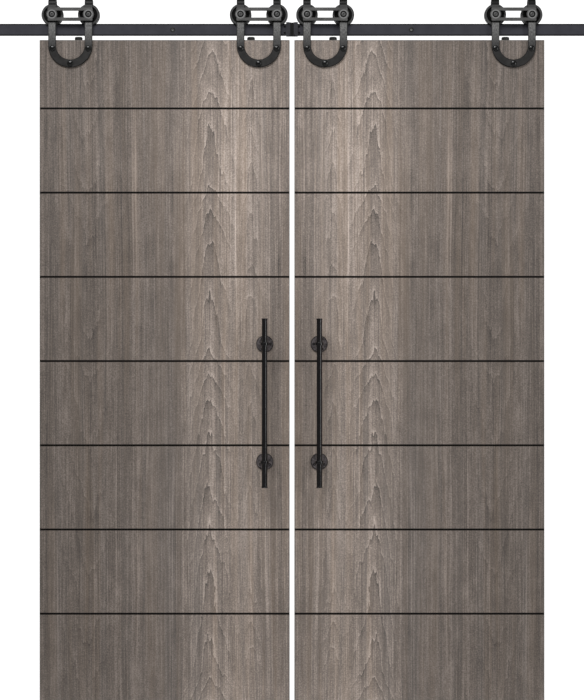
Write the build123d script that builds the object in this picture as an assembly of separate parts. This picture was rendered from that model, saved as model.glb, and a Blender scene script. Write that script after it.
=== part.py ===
from build123d import *

import math
import os

# A pair of barn doors on one exposed rail. X runs to the right, Y into the wall and Z up, in millimetres.
# The origin is on the wall's face, behind the middle of the rail.

# Door slabs
door_width = 762.0
door_height = 2032.0
door_thickness = 40.0
centre_gap = 14.4
edge_ease = 1.5
rail_to_door = 14.2
travel = 750.0

# Level black inlays in the doors' faces
first_inlay_drop = 208.7
inlay_pitch = 256.6
inlay_height = 4.6
inlay_depth = 3.0
inlay_set_back = 0.5
inlay_margin = 3.0
lowest_inlay = 150.0

# Rail, in two lengths that meet in the middle
rail_height = 36.5
rail_thickness = 6.0
rail_edge = 0.6
rail_past_stop = 64.0
rail_stand = 35.0

# Lag screws and standoffs that hold the rail off the wall
lag_radius = 4.0
lag_neck_radius = 3.5
lag_head_radius = 8.0
lag_in_wall = 50.0
lag_tip = 8.0
lag_pitch = 364.1
standoff_radius = 9.5

# Cover and splice plate at the rail's joint
cover_width = 35.8
cover_front = 5.5
cover_over = 4.5
cover_under = 2.2
cover_round = 2.0
cover_dip = 1.2
cover_groove_width = 10.6
cover_groove_depth = 1.2
cover_slot_offset = 7.7
cover_slot_width = 1.5
cover_slot_height = 6.0
splice_length = 58.0
splice_height = 26.0
splice_thickness = 6.0
track_screw_radius = 2.0
track_screw_head = 3.8
track_screw_length = 12.0
track_screw_tip = 1.0
track_screw_past_cover = 4.1
track_screw_rise = 9.5

# End stops
stop_width = 20.0
stop_cheek = 6.0
stop_above_axle = 16.0
stop_round = 5.0
stop_gap = 0.3
bumper_radius = 9.0
bumper_length = 8.0
bumper_edge = 1.5
bumper_stem_radius = 4.0
bumper_stem_length = 6.0

# Track wheels, bearings and their axles
wheel_radius = 33.0
rolling_radius = 26.5
roll_gap = 0.3
wheel_width = 24.0
wheel_side_gap = 1.5
wheel_spacing = 111.0
wheel_rim = 6.7
wheel_recess = 4.0
wheel_hub_wall = 5.0
wheel_edge = 1.2
groove_floor = 7.2
groove_flare = 1.5
bearing_radius = 11.0
bearing_width = 7.0
bearing_shoulder = 2.0
bearing_ring = 2.4
bearing_shield = 0.6
axle_radius = 4.0
axle_head_radius = 7.0
axle_head_height = 5.0
axle_head_ease = 1.5
spacer_wall = 2.5
running_clearance = 0.03
face_clearance = 0.05
hole_clearance = 0.2

# Horseshoe straps
strap_width = 23.5
strap_thickness = 6.0
strap_edge = 1.0
strap_from_edge = 94.0
arc_below_top = 16.6
wheel_top_gap = 4.9
strap_below_axle = 13.0
bolt_dip = 10.0

# Link frames across each pair of axles
link_past_axle = 12.5
link_height = 40.5
link_bar = 9.8
link_thickness = 7.0
link_ring_radius = 16.5
link_pocket_radius = 10.0
link_pocket_depth = 4.0
link_corner = 2.5
link_edge = 1.0

# Bolts and nuts
bolt_radius = 4.0
bolt_head_radius = 9.0
bolt_head_height = 5.0
bolt_head_ease = 2.5
socket_across = 5.0
socket_depth = 2.8
nut_across = 13.0
nut_height = 5.0
bolt_past_nut = 1.5
bolt_point = 1.0

# Guard discs on the doors' tops
disc_radius = 12.0
disc_height = 10.0
disc_edge = 2.0
disc_offset = 24.0

# Wood screws in the discs and rosettes
screw_radius = 2.25
screw_head_radius = 4.2
screw_length = 38.0
screw_tip = 5.0
screw_point = 0.4
screw_socket = 0.8

# Pull handles
pull_from_edge = 75.7
pull_centre_height = 926.5
pull_length = 512.4
pull_radius = 8.5
pull_wall = 2.0
pull_stand = 55.0
cap_radius = 9.4
cap_thickness = 3.7
cap_spigot = 8.0
cap_edge = 0.6
post_spacing = 358.0
post_radius = 6.5
post_stud_radius = 4.0
post_stud_length = 25.0
collar_radius = 13.0
collar_height = 9.0
collar_edge = 1.0
rosette_radius = 26.0
rosette_thickness = 5.0
rosette_edge = 1.8
rosette_screws = 3
rosette_screw_circle = 17.0

# Places that follow from the sizes
rail_back = -rail_stand
rail_middle = rail_back - rail_thickness / 2
rail_front = rail_back - rail_thickness
rail_top = rail_height / 2
door_top = -rail_top - rail_to_door
door_bottom = door_top - door_height
leg_gap = wheel_width + 2 * wheel_side_gap
door_front = rail_middle - leg_gap / 2
door_back = door_front + door_thickness
back_leg_front = rail_middle + leg_gap / 2
back_leg_back = back_leg_front + strap_thickness
strap_front = door_front - strap_thickness
link_front = strap_front - link_thickness
door_inner = -centre_gap / 2
door_outer = door_inner - door_width
hanger_places = [door_outer + strap_from_edge, door_inner - strap_from_edge]
axle_z = rail_top + rolling_radius
axle_places = [x + side * wheel_spacing / 2 for x in hanger_places for side in (-1, 1)]
arc_z = door_top - arc_below_top
bend_rise = math.sqrt((leg_gap / 2) ** 2 - (wheel_width / 2) ** 2)
bend_z = axle_z + wheel_radius + wheel_top_gap - bend_rise
stop_inner = -(-min(axle_places) + wheel_radius + travel + stop_gap + bumper_length)
stop_outer = stop_inner - stop_width
rail_end = stop_outer - rail_past_stop
lag_count = int((-stop_inner - standoff_radius) // lag_pitch)
lag_places = [-lag_pitch * (i + 1) for i in range(lag_count)]
inlay_count = 1 + int((door_height - first_inlay_drop - lowest_inlay) // inlay_pitch)
inlay_places = [door_top - first_inlay_drop - i * inlay_pitch for i in range(inlay_count)]
track_screw_x = cover_width / 2 + track_screw_past_cover
pull_x = door_inner - pull_from_edge
pull_z = door_bottom + pull_centre_height
pull_y = door_front - pull_stand
post_places = [pull_z + side * post_spacing / 2 for side in (1, -1)]
rosette_front = door_front - rosette_thickness


def along_y(sketch, front, back):
    """Make a drawing in X and Z solid from its back face forward to its front face."""
    plane = Plane(origin=(0, back, 0), x_dir=(1, 0, 0), z_dir=(0, -1, 0))
    return extrude(plane * sketch, amount=back - front)


def rod(x, z, radius, front, back):
    """A round bar or hole that runs from front to back."""
    return along_y(Pos(x, z) * Circle(radius), front, back)


def hexagon(x, z, across, front, back):
    """A hexagonal bar or socket that runs from front to back."""
    return along_y(Pos(x, z) * RegularPolygon(across / 2, 6, major_radius=False), front, back)


def turned(outline, x=0.0, y=0.0, z=0.0):
    """Spin an outline of radius and depth about an axis that runs front to back."""
    return Pos(x, y, z) * revolve(make_face(Polyline(*outline, close=True)), Axis.Y)


def screw(radius, head_radius, length, tip, x, front, z):
    """A countersunk screw driven towards the wall, its flat head level with the front."""
    cone = head_radius - radius
    head = [(0, 0), (head_radius, 0), (radius, cone)]
    shank = [(radius, length - tip), (screw_point, length), (0, length)]
    body = turned(head + shank, x, front, z)
    return body - hexagon(x, z, head_radius * screw_socket, front, front + cone * screw_socket)


def screw_hole(radius, head_radius, length, x, front, z):
    """The countersunk hole that such a screw fills."""
    cone = head_radius - radius
    wide = radius + face_clearance
    outline = [(0, 0), (head_radius + face_clearance, 0), (wide, cone), (wide, length + face_clearance)]
    return turned([*outline, (0, length + face_clearance)], x, front, z)


def bolt(x, z, under_head, end, radius, head_radius, head_height, ease):
    """A button-headed bolt with a hexagon socket, its head in front."""
    front = -head_height
    length = end - under_head
    outline = [(0, front), (head_radius - ease, front), (head_radius, front + ease), (head_radius, 0)]
    end_radius = radius - bolt_point
    shank = [(radius, 0), (radius, length - bolt_point), (end_radius, length), (0, length)]
    body = turned(outline + shank, x, under_head, z)
    face = under_head - head_height
    return body - hexagon(x, z, socket_across, face, face + socket_depth)


def nut(x, z, seat):
    """A plain nut whose front face bears on its seat."""
    back = seat + nut_height
    return hexagon(x, z, nut_across, seat, back) - rod(x, z, bolt_radius, seat, back)


def mirrored(shape):
    """The same piece on the right-hand door."""
    return mirror(shape, about=Plane.YZ)


def bolt_places():
    """Where the three bolts of each horseshoe go through the door."""
    middle = wheel_spacing / 2
    angles = [180 + bolt_dip, 270, 360 - bolt_dip]
    turns = [math.radians(angle) for angle in angles]
    return [(x + middle * math.cos(t), arc_z + middle * math.sin(t)) for x in hanger_places for t in turns]


def disc_places():
    """Where the guard discs stand, each on the side of its hanger that faces the door's middle."""
    return [hanger_places[0] + disc_offset, hanger_places[1] - disc_offset]


def rosette_screw_places(post, start):
    """Where a rosette's screws go, counted from a starting angle."""
    turns = [math.radians(start + 360 / rosette_screws * i) for i in range(rosette_screws)]
    reach = rosette_screw_circle
    return [(pull_x + reach * math.cos(t), post + reach * math.sin(t)) for t in turns]


def all_rosette_screws():
    """The upper rosette has a screw level with its middle, and the lower one has a screw on top."""
    return rosette_screw_places(post_places[0], 0) + rosette_screw_places(post_places[1], 90)


def top_screw_hole(x):
    """The hole that a guard disc's screw fills, from the disc's top down into the door."""
    hole = screw_hole(screw_radius, screw_head_radius, screw_length, 0, 0, 0)
    return Pos(x, rail_middle, door_top + disc_height) * Rot(-90, 0, 0) * hole


def door_slab():
    """A flat door with eased edges, a groove for each inlay and holes for its fittings."""
    size_y = door_thickness
    middle = Pos((door_inner + door_outer) / 2, (door_front + door_back) / 2, door_top - door_height / 2)
    slab = middle * Box(door_width, size_y, door_height)
    slab = fillet(slab.edges(), edge_ease)
    groove = Box(door_width - 2 * inlay_margin, inlay_depth, inlay_height)
    centre_x = (door_inner + door_outer) / 2
    cuts = [Pos(centre_x, door_front + inlay_depth / 2, z) * groove for z in inlay_places]
    cuts += [rod(x, z, bolt_radius + hole_clearance, door_front, door_back) for x, z in bolt_places()]
    cuts += [top_screw_hole(x) for x in disc_places()]
    stud_end = door_front + post_stud_length - rosette_thickness + hole_clearance
    cuts += [rod(pull_x, z, post_stud_radius + hole_clearance, door_front, stud_end) for z in post_places]
    for x, z in all_rosette_screws():
        cuts.append(screw_hole(screw_radius, screw_head_radius, screw_length, x, rosette_front, z))
    return slab - cuts


def inlay_strips():
    """One black strip for each groove, its face a little behind the door's."""
    thick = inlay_depth - inlay_set_back
    strip = Box(door_width - 2 * inlay_margin, thick, inlay_height)
    centre_x = (door_inner + door_outer) / 2
    return Compound([Pos(centre_x, door_front + inlay_set_back + thick / 2, z) * strip for z in inlay_places])


def strap_section(x, z):
    """The strap's flat section at the front leg, lying level, with its two front edges broken."""
    half = strap_width / 2
    inset = half - strap_edge
    low = strap_front + strap_edge
    outline = [(x - half, door_front), (x - half, low), (x - inset, strap_front)]
    outline += [(x + inset, strap_front), (x + half, low), (x + half, door_front)]
    return Pos(0, 0, z) * make_face(Polyline(*outline, close=True))


def back_leg(x):
    """The strap's short leg behind a wheel, with a round lower end."""
    half = strap_width / 2
    low = axle_z - strap_below_axle + half
    outline = Pos(x, (bend_z + low) / 2) * Rectangle(strap_width, bend_z - low) + Pos(x, low) * Circle(half)
    leg = along_y(outline, back_leg_front, back_leg_back)
    rim = leg.faces().sort_by(Axis.Y)[-1].edges()
    return chamfer([edge for edge in rim if edge.center().Z < bend_z - 0.01], strap_edge)


def horseshoe(x):
    """One strap: a U on the door's face whose arms bend over both wheels and end behind them."""
    right = x + wheel_spacing / 2
    strap = revolve(strap_section(right, arc_z), Axis((x, 0, arc_z), (0, 1, 0)), 180)
    for side in (-1, 1):
        arm = x + side * wheel_spacing / 2
        strap += extrude(strap_section(arm, arc_z), bend_z - arc_z, dir=(0, 0, 1))
        strap += revolve(strap_section(arm, bend_z), Axis((0, rail_middle, bend_z), (-1, 0, 0)), 180)
        strap += back_leg(arm)
        strap -= rod(arm, axle_z, axle_radius + hole_clearance, strap_front, back_leg_back)
    for bolt_x, bolt_z in bolt_places():
        if abs(bolt_x - x) < wheel_spacing:
            strap -= rod(bolt_x, bolt_z, bolt_radius + hole_clearance, strap_front, door_front)
    return strap


def link(x):
    """The frame in front of a strap: two bars joined by a pocketed ring at each axle."""
    length = wheel_spacing + 2 * link_past_axle
    bar_z = link_height / 2 - link_bar / 2
    bars = [Pos(x, axle_z + side * bar_z) * Rectangle(length, link_bar) for side in (-1, 1)]
    rings = [Pos(x + side * wheel_spacing / 2, axle_z) * Circle(link_ring_radius) for side in (-1, 1)]
    outline = Sketch() + bars + rings
    corners = outline.vertices().sort_by(Axis.Y)
    outline = fillet([*corners[:2], *corners[-2:]], link_corner)
    frame = along_y(outline, link_front, strap_front)
    frame = chamfer(frame.faces().sort_by(Axis.Y)[0].edges(), link_edge)
    for side in (-1, 1):
        axle = x + side * wheel_spacing / 2
        frame -= rod(axle, axle_z, link_pocket_radius, link_front, link_front + link_pocket_depth)
        frame -= rod(axle, axle_z, axle_radius + hole_clearance, link_front, strap_front)
    return frame


def wheel(x):
    """A grooved track wheel with a rim, a hub and a seat for its bearing."""
    half = wheel_width / 2
    floor = rolling_radius - roll_gap
    hub = bearing_radius + wheel_hub_wall
    web = half - wheel_recess
    rim = wheel_radius - wheel_rim
    corner = wheel_radius - wheel_edge
    shoulder = bearing_radius - bearing_shoulder
    low = groove_floor / 2
    high = groove_floor / 2 + groove_flare
    front = [(bearing_radius, -half), (hub, -half), (hub, -web), (rim, -web), (rim, -half), (corner, -half)]
    tread = [(wheel_radius, wheel_edge - half), (wheel_radius, -high), (floor, -low), (floor, low)]
    tread += [(wheel_radius, high), (wheel_radius, half - wheel_edge)]
    back = [(corner, half), (rim, half), (rim, web), (hub, web), (hub, half), (shoulder, half)]
    seat = [(shoulder, bearing_width / 2), (bearing_radius, bearing_width / 2)]
    return turned(front + tread + back + seat, x, rail_middle, axle_z)


def bearing(x):
    """A sealed ball bearing, its shields a little behind the faces of its rings."""
    half = bearing_width / 2
    inner = axle_radius + running_clearance
    steps = [inner + bearing_ring, bearing_radius - bearing_ring]
    face = half - bearing_shield
    front = [(inner, -half), (steps[0], -half), (steps[0], -face), (steps[1], -face), (steps[1], -half)]
    back = [(radius, -depth) for radius, depth in reversed(front)]
    outline = [*front, (bearing_radius, -half), (bearing_radius, half), *back]
    return turned(outline, x, rail_middle, axle_z)


def axle_spacers():
    """Two sleeves on each axle, which hold the bearing midway between the strap's legs."""
    length = (leg_gap - bearing_width) / 2 - face_clearance
    spacers = []
    for x in axle_places:
        for front in (door_front, back_leg_front - length):
            sleeve = rod(x, axle_z, axle_radius + spacer_wall, front, front + length)
            spacers.append(sleeve - rod(x, axle_z, axle_radius, front, front + length))
    return Compound(spacers)


def axle_bolts():
    """The bolts that carry the wheels, their heads in the link's pockets."""
    seat = link_front + link_pocket_depth
    end = back_leg_back + nut_height + bolt_past_nut
    size = (axle_radius, axle_head_radius, axle_head_height, axle_head_ease)
    return Compound([bolt(x, axle_z, seat, end, *size) for x in axle_places])


def horseshoe_bolts():
    """The bolts through each horseshoe and the door."""
    end = door_back + nut_height + bolt_past_nut
    size = (bolt_radius, bolt_head_radius, bolt_head_height, bolt_head_ease)
    return Compound([bolt(x, z, strap_front, end, *size) for x, z in bolt_places()])


def nuts():
    """The nuts behind the axles and behind the door."""
    behind = [nut(x, axle_z, back_leg_back) for x in axle_places]
    return Compound(behind + [nut(x, z, door_back) for x, z in bolt_places()])


def guard_discs():
    """Discs under the rail that keep the door from being lifted off it."""
    discs = []
    for x in disc_places():
        disc = Pos(x, rail_middle, door_top + disc_height / 2) * Cylinder(disc_radius, disc_height)
        disc = chamfer(disc.edges().sort_by(Axis.Z)[-1], disc_edge)
        discs.append(disc - top_screw_hole(x))
    return Compound(discs)


def wood_screws():
    """The screws through the guard discs and through the rosettes."""
    size = (screw_radius, screw_head_radius, screw_length, screw_tip)
    upright = Rot(-90, 0, 0) * screw(*size, 0, 0, 0)
    screws = [Pos(x, rail_middle, door_top + disc_height) * upright for x in disc_places()]
    return Compound(screws + [screw(*size, x, rosette_front, z) for x, z in all_rosette_screws()])


def pull_bar():
    """The pull's round tube."""
    length = pull_length - 2 * cap_thickness
    tube = Cylinder(pull_radius, length) - Cylinder(pull_radius - pull_wall, length)
    return Pos(pull_x, pull_y, pull_z) * tube


def pull_caps():
    """A plug in each end of the tube."""
    caps = []
    for side in (1, -1):
        face = side * (pull_length - cap_thickness) / 2
        plug = face - side * (cap_thickness + cap_spigot) / 2
        disc = Cylinder(cap_radius, cap_thickness)
        disc = Pos(0, 0, face) * chamfer(disc.edges().filter_by(GeomType.CIRCLE), cap_edge)
        cap = disc + Pos(0, 0, plug) * Cylinder(pull_radius - pull_wall, cap_spigot)
        caps.append(Pos(pull_x, pull_y, pull_z) * cap)
    return Compound(caps)


def pull_posts():
    """Each post: a collar round the tube, a stem to the rosette and a stud into the door."""
    posts = []
    for z in post_places:
        collar = Cylinder(collar_radius, collar_height)
        collar = Pos(pull_x, pull_y, z) * chamfer(collar.edges().filter_by(GeomType.CIRCLE), collar_edge)
        post = collar + rod(pull_x, z, post_radius, pull_y, rosette_front)
        post += rod(pull_x, z, post_stud_radius, rosette_front, rosette_front + post_stud_length)
        posts.append(post - Pos(pull_x, pull_y, z) * Cylinder(pull_radius, 3 * collar_height))
    return Compound(posts)


def rosette(z, start):
    """A round plate under a post, its rim broken twice."""
    soft = rosette_radius - rosette_edge
    rim = [(soft, 0), (rosette_radius - rosette_edge / 3, rosette_edge / 3), (rosette_radius, rosette_edge)]
    outline = [(0, 0), *rim, (rosette_radius, rosette_thickness), (0, rosette_thickness)]
    plate = turned(outline, pull_x, rosette_front, z)
    plate -= rod(pull_x, z, post_stud_radius + hole_clearance, rosette_front, door_front)
    size = (screw_radius, screw_head_radius, screw_length)
    return plate - [screw_hole(*size, x, rosette_front, at) for x, at in rosette_screw_places(z, start)]


def cover_screw_places():
    """Where the four small screws of the rail's joint are."""
    return [(side * track_screw_x, rise * track_screw_rise) for side in (-1, 1) for rise in (-1, 1)]


def stop_screw_places():
    """Where the two small screws of the left end stop are."""
    return [((stop_inner + stop_outer) / 2, rise * track_screw_rise) for rise in (-1, 1)]


def rail():
    """The left length of rail: a flat bar with broken edges, drilled for every screw."""
    length = -rail_end
    bar = Pos(-length / 2, rail_middle, 0) * Box(length, rail_thickness, rail_height)
    bar = chamfer(bar.edges().filter_by(Axis.X), rail_edge)
    size = (lag_radius, lag_head_radius, rail_thickness)
    cuts = [screw_hole(*size, x, rail_front, 0) for x in lag_places]
    size = (track_screw_radius, track_screw_head, track_screw_length)
    cuts += [screw_hole(*size, x, rail_front, z) for x, z in cover_screw_places() if x < 0]
    for x, z in stop_screw_places():
        cuts.append(screw_hole(*size, x, rail_front - stop_cheek, z))
    return bar - cuts


def rail_cover():
    """The cover over the rail's joint: a plate with a lip over and under the rail."""
    half = cover_width / 2
    top = rail_top + cover_over
    low = -rail_top - cover_under
    hump = half / 2
    dip = ThreePointArc((-hump, top), (0, top - cover_dip), (hump, top))
    ends = Polyline((hump, top), (half, top), (half, low), (-half, low), (-half, top), (-hump, top))
    body = along_y(make_face([dip, ends]), rail_front - cover_front, rail_back)
    corners = [edge for edge in body.edges().filter_by(Axis.Y) if abs(edge.center().X) > half - 0.01]
    body = fillet(corners, cover_round)
    body -= Pos(0, (rail_front + rail_back) / 2, 0) * Box(2 * cover_width, rail_thickness, rail_height)
    front = rail_front - cover_front
    body -= Pos(0, front + cover_groove_depth / 2, 0) * Box(cover_groove_width, cover_groove_depth, 3 * top)
    slot = Box(cover_slot_width, cover_front, cover_slot_height)
    for side in (-1, 1):
        body -= Pos(side * cover_slot_offset, front, low + cover_slot_height / 2) * slot
    return body


def splice_plate():
    """The plate behind the rail that the joint's four screws pull on."""
    middle = rail_back + splice_thickness / 2
    plate = Pos(0, middle, 0) * Box(splice_length, splice_thickness, splice_height)
    size = (track_screw_radius, track_screw_head, track_screw_length)
    return plate - [screw_hole(*size, x, rail_front, z) for x, z in cover_screw_places()]


def track_screws():
    """The small screws of the rail's joint and of both end stops."""
    size = (track_screw_radius, track_screw_head, track_screw_length, track_screw_tip)
    joint = [screw(*size, x, rail_front, z) for x, z in cover_screw_places()]
    left = [screw(*size, x, rail_front - stop_cheek, z) for x, z in stop_screw_places()]
    return Compound(joint + left + [mirrored(one) for one in left])


def end_stop():
    """The left stop: a block that straddles the rail and stands up in the wheels' way."""
    top = axle_z + stop_above_axle
    front = rail_front - stop_cheek
    back = rail_back + stop_cheek
    middle = Pos((stop_inner + stop_outer) / 2, (front + back) / 2, (top - rail_top) / 2)
    block = middle * Box(stop_width, back - front, top + rail_top)
    block = fillet(block.edges().filter_by(Axis.Y).sort_by(Axis.Z)[-2:], stop_round)
    slot = Box(2 * stop_width, rail_thickness, rail_height)
    block -= Pos((stop_inner + stop_outer) / 2, rail_middle, 0) * slot
    stem = Pos(stop_inner - bumper_stem_length / 2, rail_middle, axle_z) * Rot(0, 90, 0)
    block -= stem * Cylinder(bumper_stem_radius, bumper_stem_length)
    size = (track_screw_radius, track_screw_head, track_screw_length)
    return block - [screw_hole(*size, x, front, z) for x, z in stop_screw_places()]


def bumper():
    """The left stop's rubber bumper, with a stem in the block."""
    pad = Cylinder(bumper_radius, bumper_length)
    pad = chamfer(pad.edges().filter_by(GeomType.CIRCLE).sort_by(Axis.Z)[-1], bumper_edge)
    stem = Cylinder(bumper_stem_radius, bumper_stem_length)
    stem = Pos(0, 0, -(bumper_length + bumper_stem_length) / 2) * stem
    return Pos(stop_inner + bumper_length / 2, rail_middle, axle_z) * Rot(0, 90, 0) * (pad + stem)


def wall_standoffs():
    """A sleeve between the rail and the wall round every lag screw."""
    left = []
    for x in lag_places:
        sleeve = rod(x, 0, standoff_radius, rail_back, 0)
        left.append(sleeve - rod(x, 0, lag_radius + hole_clearance, rail_back, 0))
    return Compound(left + [mirrored(one) for one in left])


def wall_lags():
    """The lag screws, flush with the rail's face: a thinner neck up to the wall, and the thread in it."""
    wall = -rail_front
    end = wall + lag_in_wall
    cone = lag_head_radius - lag_radius
    head = [(0, 0), (lag_head_radius, 0), (lag_radius, cone)]
    neck = [(lag_neck_radius, cone), (lag_neck_radius, wall)]
    thread = [(lag_radius, wall), (lag_radius, end - lag_tip), (screw_point, end), (0, end)]
    socket = rail_front + cone * screw_socket
    left = []
    for x in lag_places:
        lag = turned(head + neck + thread, x, rail_front, 0)
        left.append(lag - hexagon(x, 0, socket_across, rail_front, socket))
    return Compound(left + [mirrored(lag) for lag in left])


def left_pieces():
    """Every piece of the left half by name, each with a mirrored twin on the right."""
    pieces = {
        "rail": rail(),
        "end_stop": end_stop(),
        "door_slab": door_slab(),
        "inlay_strips": inlay_strips(),
        "horseshoe_bolts": horseshoe_bolts(),
        "nuts": nuts(),
        "axle_bolts": axle_bolts(),
        "axle_spacers": axle_spacers(),
        "guard_discs": guard_discs(),
        "wood_screws": wood_screws(),
        "pull_bar": pull_bar(),
        "pull_caps": pull_caps(),
        "pull_posts": pull_posts(),
        "upper_rosette": rosette(post_places[0], 0),
        "lower_rosette": rosette(post_places[1], 90),
    }
    for place, x in zip(("outer", "inner"), hanger_places):
        pieces[f"{place}_horseshoe"] = horseshoe(x)
        pieces[f"{place}_link"] = link(x)
    for number, x in enumerate(axle_places, start=1):
        pieces[f"wheel_{number}"] = wheel(x)
        pieces[f"bearing_{number}"] = bearing(x)
    return pieces


def middle_pieces():
    """The pieces that both halves share."""
    return {
        "rail_cover": rail_cover(),
        "splice_plate": splice_plate(),
        "track_screws": track_screws(),
        "wall_standoffs": wall_standoffs(),
        "wall_lags": wall_lags(),
        "stop_bumpers": Compound([bumper(), mirrored(bumper())]),
    }


os.makedirs("parts", exist_ok=True)
for name, piece in middle_pieces().items():
    export_step(piece, f"parts/{name}.step")
for name, piece in left_pieces().items():
    export_step(piece, f"parts/left_{name}.step")
    export_step(mirrored(piece), f"parts/right_{name}.step")
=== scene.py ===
# %% [markdown]
# # A pair of barn doors on an exposed rail
# Two flat doors hang side by side from one steel rail. Each door has two hangers: a strap bent into a U on
# the door's face, whose arms go over two grooved wheels. The doors carry thin black inlays and long bar pulls.
#
# The solid model is finished before this script starts. This script loads it as a fixed frame, gives every
# piece its finish, and builds smoother versions of the round and bent pieces around it. Nothing moves.

# %% Load the frame
import math
from collections import namedtuple

import bmesh
import bpy
from mathutils import Matrix, Vector


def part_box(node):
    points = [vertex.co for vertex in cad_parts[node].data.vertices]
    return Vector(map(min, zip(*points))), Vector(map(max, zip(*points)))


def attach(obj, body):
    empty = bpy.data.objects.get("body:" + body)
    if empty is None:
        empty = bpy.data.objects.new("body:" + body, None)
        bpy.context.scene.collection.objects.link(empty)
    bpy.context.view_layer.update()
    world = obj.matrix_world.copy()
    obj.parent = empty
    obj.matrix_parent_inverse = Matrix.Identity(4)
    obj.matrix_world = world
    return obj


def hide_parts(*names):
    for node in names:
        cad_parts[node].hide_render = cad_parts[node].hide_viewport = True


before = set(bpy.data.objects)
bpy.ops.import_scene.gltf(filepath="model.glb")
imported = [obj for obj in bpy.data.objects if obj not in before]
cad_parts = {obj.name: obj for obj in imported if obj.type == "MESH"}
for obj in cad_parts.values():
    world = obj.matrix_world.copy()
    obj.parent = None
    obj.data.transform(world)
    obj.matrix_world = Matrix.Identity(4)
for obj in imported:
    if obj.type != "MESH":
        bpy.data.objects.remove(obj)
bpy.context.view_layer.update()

# %% [markdown]
# ## Sizes that the frame gives
# A box in the frame has a lowest and a highest corner, in metres. Reading the sizes from there, and not
# typing them again, keeps every new piece on the place of the solid that it stands for.

# %% Read places from the frame
mm = 0.001
sides = ("left", "right")


def middle(node):
    """The middle of a node's box."""
    low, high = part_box(node)
    return (low + high) / 2


def spread(node):
    """How far a node's box reaches along each axis."""
    low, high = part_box(node)
    return high - low


door_low, door_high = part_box("left_door_slab")
door_front, door_back = door_low.y, door_high.y
strap_low, strap_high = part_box("left_outer_horseshoe")
wheel_middle = middle("left_wheel_1")
axle_z = wheel_middle.z
wheel_y = wheel_middle.y
axle_x = {side: [middle(f"{side}_wheel_{i}").x for i in range(1, 5)] for side in sides}
hanger_x = {side: [middle(f"{side}_{place}_horseshoe").x for place in ("outer", "inner")] for side in sides}
axle_pitch = abs(axle_x["left"][1] - axle_x["left"][0])
rail_low, rail_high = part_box("left_rail")
link_low, link_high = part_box("left_outer_link")
link_front = link_low.y
arc_radius = axle_pitch / 2
arc_z = door_high.z - 16.6 * mm
post_z = [middle(f"left_{place}_rosette").z for place in ("upper", "lower")]
pull_x = {side: middle(f"{side}_pull_bar").x for side in sides}
print("door front at", round(door_front, 4), "axles at", [round(x, 4) for x in axle_x["left"]])

# %% [markdown]
# ## A small language for nodes
# Finishes and Geometry Nodes are both node trees. Clicking a hundred nodes together is slow, so a wire is
# wrapped in a class: adding or multiplying two wires adds the Math node that does it. Every other node
# comes from one method, which sets the node up and then plugs in its sockets.

# %% Wires and nodes
class Wire:
    """A value on its way between nodes. Python's operators add the Math node that they name."""

    def __init__(self, nodes, socket):
        self.nodes = nodes
        self.socket = socket

    def math(self, operation, *values):
        return self.nodes.add("ShaderNodeMath", {"operation": operation}, values)

    def other(self, name):
        """Another output of the node that this wire comes from."""
        return Wire(self.nodes, self.socket.node.outputs[name])

    def __abs__(self):
        return self.math("ABSOLUTE", self)

    def fract(self):
        return self.math("FRACT", self)

    def above_zero(self):
        return self.math("MAXIMUM", self, 0.0)

    def clamped(self):
        return self.nodes.add("ShaderNodeClamp", {}, {"Value": self})


def operator(operation, swapped):
    """What one of Python's operators does to a wire. A swapped one has its wire on the right."""
    def apply(wire, value):
        return wire.math(operation, value, wire) if swapped else wire.math(operation, wire, value)
    return apply


for sign, operation in (("add", "ADD"), ("sub", "SUBTRACT"), ("mul", "MULTIPLY"), ("truediv", "DIVIDE"),
                        ("pow", "POWER")):
    setattr(Wire, f"__{sign}__", operator(operation, False))
    setattr(Wire, f"__r{sign}__", operator(operation, True))


class Nodes:
    """A node tree that is written as Python."""

    def __init__(self, tree):
        self.tree = tree

    def add(self, kind, settings=None, sockets=(), output=0):
        """Add a node, with its settings first and then the values or wires of its sockets."""
        node = self.tree.nodes.new(kind)
        for name, value in (settings or {}).items():
            if name == "stops":
                self.set_stops(node.color_ramp, value)
            else:
                setattr(node, name, value)
        named = sockets.items() if isinstance(sockets, dict) else enumerate(sockets)
        for key, value in named:
            if isinstance(value, Wire):
                self.tree.links.new(value.socket, node.inputs[key])
            else:
                node.inputs[key].default_value = value
        return Wire(self, node.outputs[output]) if node.outputs else node

    def set_stops(self, ramp, stops):
        """Give a ramp its stops, each a place from 0 to 1 and a colour or a grey."""
        while len(ramp.elements) < len(stops):
            ramp.elements.new(0.5)
        for element, (place, colour) in zip(ramp.elements, stops):
            element.position = place
            element.color = (*colour, 1) if isinstance(colour, tuple) else (colour, colour, colour, 1)


print("node helpers ready")

# %% [markdown]
# ## Paint
# A finish starts from where a point is on the object. Noise that is stretched along one axis gives grain, and
# noise that is the same every way gives the orange peel of powder coat. The finish feeds one shader.

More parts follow.
